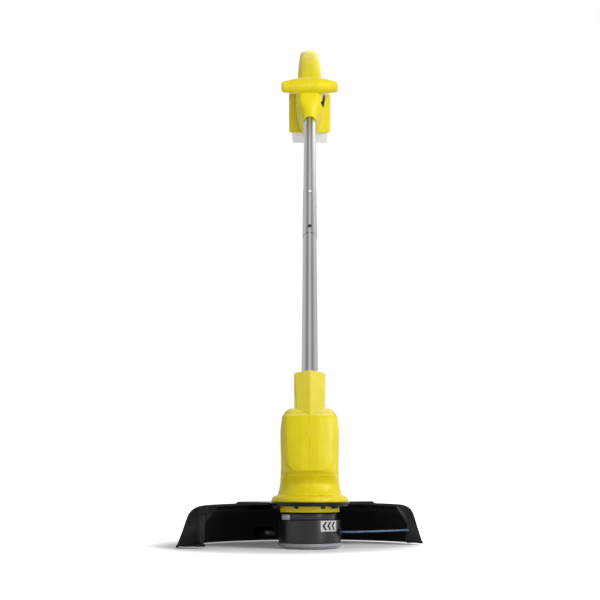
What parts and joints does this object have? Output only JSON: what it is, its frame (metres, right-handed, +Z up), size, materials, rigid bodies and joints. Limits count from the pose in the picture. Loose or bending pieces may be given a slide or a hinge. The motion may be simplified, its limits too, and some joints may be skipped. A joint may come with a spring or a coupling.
{
  "type": "string trimmer",
  "caption": "Cordless string trimmer with a lemon motor head, black guard and drum, satin tube in two lengths and a battery grip with a T-bar.",
  "frame": {"origin": "on the drum's axis, on the flat underside of the drum cover, where it rests on the ground", "axes": "+X to the right of someone who faces the trimmer's front, +Y back towards the hands, +Z up along the drum's axis"},
  "size_m": [0.305, 0.7898, 0.973],
  "materials": {
    "lemon_shell": "satin moulded plastic",
    "black_shell": "satin moulded plastic",
    "pale_shell": "satin moulded plastic",
    "grey_shell": "satin moulded plastic",
    "satin_tube": "satin drawn tube",
    "silver_plastic": "silver grey moulded plastic",
    "steel": "brushed",
    "dark_steel": "dark lacquer",
    "ferrite": "sintered",
    "zinc_screw": "zinc plated",
    "spring_steel": "drawn wire",
    "nylon_dark": "moulded nylon",
    "nylon_white": "moulded nylon",
    "blue_line": "extruded twisted nylon",
    "brass_parts": "bright",
    "cable_sheath": "smooth sheath",
    "circuit_board": "solder mask",
    "cell_wrap": "heat-shrunk film"
  },
  "bodies": {
    "frame": {"motor_housing_left": "lemon_shell", "motor_housing_right": "lemon_shell", "housing_screws": "zinc_screw", "motor_plate": "steel", "motor_screws": "zinc_screw", "motor_can": "steel", "motor_magnets": "ferrite", "motor_end_cap": "nylon_dark", "motor_brushes": "ferrite", "motor_plug": "nylon_dark", "motor_bearings": "steel", "motor_cable": "cable_sheath", "guard": "black_shell", "guard_screws": "dark_steel", "line_cutter": "dark_steel", "cutter_screws": "dark_steel", "lower_tube": "satin_tube", "upper_tube": "satin_tube", "coupling_sleeve": "satin_tube", "sleeve_rivet": "dark_steel", "snap_spring": "spring_steel", "handle_left": "lemon_shell", "handle_right": "lemon_shell", "handle_screws": "zinc_screw", "trigger_pin": "steel", "trigger_spring": "spring_steel", "switch_body": "nylon_dark", "switch_lead": "cable_sheath", "lock_off_spring": "spring_steel", "control_board": "circuit_board", "battery_leads": "cable_sheath", "terminal_block": "nylon_dark", "terminal_blades": "brass_parts"},
    "drum": {"motor_shaft": "steel", "armature": "dark_steel", "drive_hub": "nylon_dark", "hub_nut": "zinc_screw", "spool_drum": "black_shell", "latch_tab_spring_front": "spring_steel", "latch_tab_spring_rear": "spring_steel", "line_eyelet": "dark_steel", "cutting_line": "blue_line", "drum_cover": "grey_shell", "spool_spring": "spring_steel"},
    "reel": {"spool": "nylon_white", "line_winding": "blue_line"},
    "front_tab": {"latch_tab_front": "silver_plastic"},
    "rear_tab": {"latch_tab_rear": "silver_plastic"},
    "tube_button": {"snap_button": "steel"},
    "trigger_lever": {"trigger": "black_shell"},
    "plunger": {"switch_plunger": "nylon_white"},
    "lock_button": {"lock_off_button": "black_shell"},
    "battery": {"battery_case_top": "pale_shell", "battery_case_bottom": "pale_shell", "battery_screws": "zinc_screw", "battery_cells": "cell_wrap", "cell_holders": "nylon_dark", "battery_board": "circuit_board", "battery_latch_spring": "spring_steel"},
    "latch": {"battery_latch": "pale_shell"}
  },
  "joints": [
    {"name": "head_spin", "type": "hinge", "parent": "frame", "child": "drum", "pos_m": [0, 0, 0.02], "axis": [0, 0, 1], "continuous": true},
    {"name": "spool_feed", "type": "hinge", "parent": "drum", "child": "reel", "pos_m": [0, 0, 0.02], "axis": [0, 0, 1], "continuous": true},
    {"name": "front_tab_press", "type": "slide", "parent": "drum", "child": "front_tab", "axis": [0.829, 0.5592, 0], "range_m": [0, 0.002], "stiffness_N_per_m": 2000, "deforming": ["latch_tab_spring_front"]},
    {"name": "rear_tab_press", "type": "slide", "parent": "drum", "child": "rear_tab", "axis": [-0.829, -0.5592, 0], "range_m": [0, 0.002], "stiffness_N_per_m": 2000, "deforming": ["latch_tab_spring_rear"]},
    {"name": "snap_button_press", "type": "slide", "parent": "frame", "child": "tube_button", "axis": [0, 0.7826, -0.6225], "range_m": [0, 0.0026], "stiffness_N_per_m": 2500, "deforming": ["snap_spring"]},
    {"name": "trigger_pull", "type": "hinge", "parent": "frame", "child": "trigger_lever", "pos_m": [0, 0.55398, 0.89395], "axis": [1, 0, 0], "range_deg": [0, 9], "stiffness_Nm_per_rad": 3, "deforming": ["trigger_spring"]},
    {"name": "switch_press", "type": "slide", "parent": "frame", "child": "plunger", "axis": [0, -0.7826, 0.6225], "range_m": [0, 0.004]},
    {"name": "lock_off_press", "type": "slide", "parent": "frame", "child": "lock_button", "axis": [-1, 0, 0], "range_m": [0, 0.0035], "stiffness_N_per_m": 1500, "deforming": ["lock_off_spring"]},
    {"name": "battery_slide", "type": "slide", "parent": "frame", "child": "battery", "axis": [0, 0.6225, 0.7826], "range_m": [0, 0.13]},
    {"name": "battery_latch_press", "type": "slide", "parent": "battery", "child": "latch", "axis": [0, 0.7826, -0.6225], "range_m": [0, 0.0035], "stiffness_N_per_m": 1800, "deforming": ["battery_latch_spring"]}
  ],
  "couplings": [
    {"joint": "switch_press", "follows": "trigger_pull", "m_per_rad": 0.024}
  ]
}
